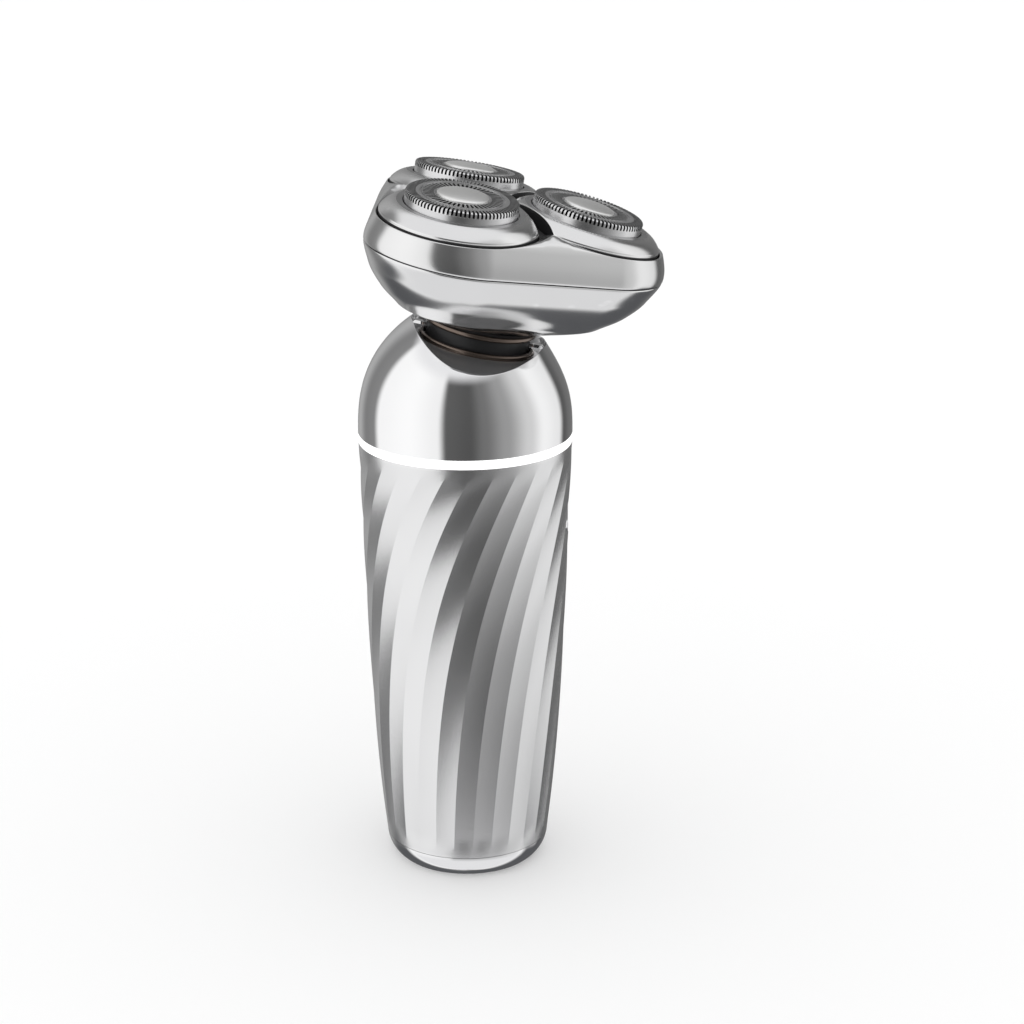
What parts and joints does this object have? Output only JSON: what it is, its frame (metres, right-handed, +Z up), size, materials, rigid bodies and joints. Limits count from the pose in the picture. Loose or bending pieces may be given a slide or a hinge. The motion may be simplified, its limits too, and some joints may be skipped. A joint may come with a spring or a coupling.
{
  "type": "rotary shaver",
  "caption": "Cordless rotary shaver: twisted faceted metal handle with a light band and a leaning gimballed head of floating round cutters.",
  "frame": {"origin": "centre of the flat base face, on the handle's axis", "axes": "+Z up along the handle, front of the shaver (power button, overhang of the head) towards -Y, +X to the side"},
  "size_m": [0.067, 0.0649, 0.1537],
  "materials": {
    "satin_metal": "satin twisted facets",
    "polished_chrome": "polished",
    "satin_chrome": "satin",
    "dark_gunmetal": "glossy gunmetal",
    "bronze_black": "glossy black with a bronze tint",
    "black_plastic": "matte",
    "light_diffuser": "white translucent",
    "blade_steel": "brushed",
    "steel": "turned",
    "gear_plastic": "matte acetal",
    "frame_plastic": "matte",
    "seal_rubber": "matte",
    "circuit_green": "solder-resist gloss",
    "battery_wrap": "shrink wrap",
    "contact_brass": "plated"
  },
  "bodies": {
    "handle": {"base_cap": "polished_chrome", "base_seal": "seal_rubber", "battery": "battery_wrap", "battery_tabs": "contact_brass", "board_screws": "steel", "button_bezel": "polished_chrome", "button_seal": "seal_rubber", "charge_board": "circuit_green", "chassis": "frame_plastic", "control_board": "circuit_green", "grip_sleeve": "satin_metal", "led_board": "circuit_green", "light_ring": "light_diffuser", "lower_neck_ring": "bronze_black", "motor_bracket": "frame_plastic", "motor_can": "steel", "motor_end_cap": "black_plastic", "motor_screws": "steel", "neck_saddle": "dark_gunmetal", "ring_leds": "light_diffuser", "roll_lugs": "polished_chrome", "roll_pins": "steel", "tactile_switch": "black_plastic", "upper_casing": "polished_chrome", "usb_c_socket": "steel"},
    "power_button": {"power_button": "polished_chrome"},
    "motor_spindle": {"motor_spindle": "steel", "drive_pin": "steel"},
    "gimbal": {"gimbal_ring": "steel"},
    "shaving_head": {"ball_neck": "black_plastic", "upper_neck_ring": "bronze_black", "pitch_pins": "steel", "head_lower_shell": "satin_chrome", "gear_tray": "frame_plastic", "gear_axles": "steel", "gear_cover": "frame_plastic", "gear_cover_screws": "steel"},
    "sun_gear": {"sun_gear": "gear_plastic"},
    "cutter_frame": {"head_frame": "satin_chrome", "cutter_carrier": "black_plastic", "hinge_pins": "steel", "petal_springs": "steel"},
    "drive_gear_1": {"drive_gear_1": "gear_plastic", "drive_spindle_1": "gear_plastic"},
    "petal_1": {"petal_1": "satin_chrome", "outer_cutter_1": "blade_steel", "cutter_cap_1": "blade_steel"},
    "inner_cutter_1": {"inner_cutter_1": "blade_steel"},
    "drive_gear_2": {"drive_gear_2": "gear_plastic", "drive_spindle_2": "gear_plastic"},
    "petal_2": {"petal_2": "satin_chrome", "outer_cutter_2": "blade_steel", "cutter_cap_2": "blade_steel"},
    "inner_cutter_2": {"inner_cutter_2": "blade_steel"},
    "drive_gear_3": {"drive_gear_3": "gear_plastic", "drive_spindle_3": "gear_plastic"},
    "petal_3": {"petal_3": "satin_chrome", "outer_cutter_3": "blade_steel", "cutter_cap_3": "blade_steel"},
    "inner_cutter_3": {"inner_cutter_3": "blade_steel"}
  },
  "joints": [
    {"name": "button_press", "type": "slide", "parent": "handle", "child": "power_button", "axis": [0, 1, 0], "range_m": [0, 0.0005], "stiffness_N_per_m": 2000},
    {"name": "motor_spin", "type": "hinge", "parent": "handle", "child": "motor_spindle", "pos_m": [0, -0.00256, 0.1177], "axis": [0, -0.1994, 0.9799], "continuous": true},
    {"name": "head_roll", "type": "hinge", "parent": "handle", "child": "gimbal", "pos_m": [0, -0.00272, 0.11848], "axis": [0, 0.9799, 0.1994], "range_deg": [-6, 6], "stiffness_Nm_per_rad": 0.8},
    {"name": "head_pitch", "type": "hinge", "parent": "gimbal", "child": "shaving_head", "pos_m": [0, -0.00272, 0.11848], "axis": [1, 0, 0], "range_deg": [-6, 6], "stiffness_Nm_per_rad": 0.8},
    {"name": "sun_spin", "type": "hinge", "parent": "shaving_head", "child": "sun_gear", "pos_m": [0, -0.00256, 0.1177], "axis": [0, -0.1994, 0.9799], "continuous": true},
    {"name": "frame_lift", "type": "slide", "parent": "shaving_head", "child": "cutter_frame", "axis": [0, -0.1994, 0.9799], "range_m": [0, 0.012]},
    {"name": "drive_spin_1", "type": "hinge", "parent": "shaving_head", "child": "drive_gear_1", "pos_m": [0, -0.02246, 0.12896], "axis": [0, -0.1994, 0.9799], "continuous": true},
    {"name": "petal_sink_1", "type": "hinge", "parent": "cutter_frame", "child": "petal_1", "pos_m": [0, -0.03825, 0.13585], "axis": [-1, 0, 0], "range_deg": [0, 2.5], "stiffness_Nm_per_rad": 0.5, "springref_deg": -0.57},
    {"name": "cutter_spin_1", "type": "hinge", "parent": "petal_1", "child": "inner_cutter_1", "pos_m": [0, -0.02557, 0.14425], "axis": [0, -0.284, 0.9588], "continuous": true},
    {"name": "drive_spin_2", "type": "hinge", "parent": "shaving_head", "child": "drive_gear_2", "pos_m": [0.01494, 0.0029, 0.13412], "axis": [0, -0.1994, 0.9799], "continuous": true},
    {"name": "petal_sink_2", "type": "hinge", "parent": "cutter_frame", "child": "petal_2", "pos_m": [0.02715, 0.00783, 0.14523], "axis": [0.5, -0.8486, -0.1727], "range_deg": [0, 2.5], "stiffness_Nm_per_rad": 0.5, "springref_deg": -0.57},
    {"name": "cutter_spin_2", "type": "hinge", "parent": "petal_2", "child": "inner_cutter_2", "pos_m": [0.01494, -0.00021, 0.14941], "axis": [0.0755, -0.1559, 0.9849], "continuous": true},
    {"name": "drive_spin_3", "type": "hinge", "parent": "shaving_head", "child": "drive_gear_3", "pos_m": [-0.01494, 0.0029, 0.13412], "axis": [0, -0.1994, 0.9799], "continuous": true},
    {"name": "petal_sink_3", "type": "hinge", "parent": "cutter_frame", "child": "petal_3", "pos_m": [-0.02715, 0.00783, 0.14523], "axis": [0.5, 0.8486, 0.1727], "range_deg": [0, 2.5], "stiffness_Nm_per_rad": 0.5, "springref_deg": -0.57},
    {"name": "cutter_spin_3", "type": "hinge", "parent": "petal_3", "child": "inner_cutter_3", "pos_m": [-0.01494, -0.00021, 0.14941], "axis": [-0.0755, -0.1559, 0.9849], "continuous": true}
  ],
  "couplings": [
    {"joint": "motor_spin", "follows": "cutter_spin_1", "ratio": -1.875},
    {"joint": "sun_spin", "follows": "cutter_spin_1", "ratio": -1.875},
    {"joint": "drive_spin_1", "follows": "cutter_spin_1", "ratio": 1},
    {"joint": "drive_spin_2", "follows": "cutter_spin_1", "ratio": 1},
    {"joint": "cutter_spin_2", "follows": "cutter_spin_1", "ratio": 1},
    {"joint": "drive_spin_3", "follows": "cutter_spin_1", "ratio": 1},
    {"joint": "cutter_spin_3", "follows": "cutter_spin_1", "ratio": 1}
  ]
}
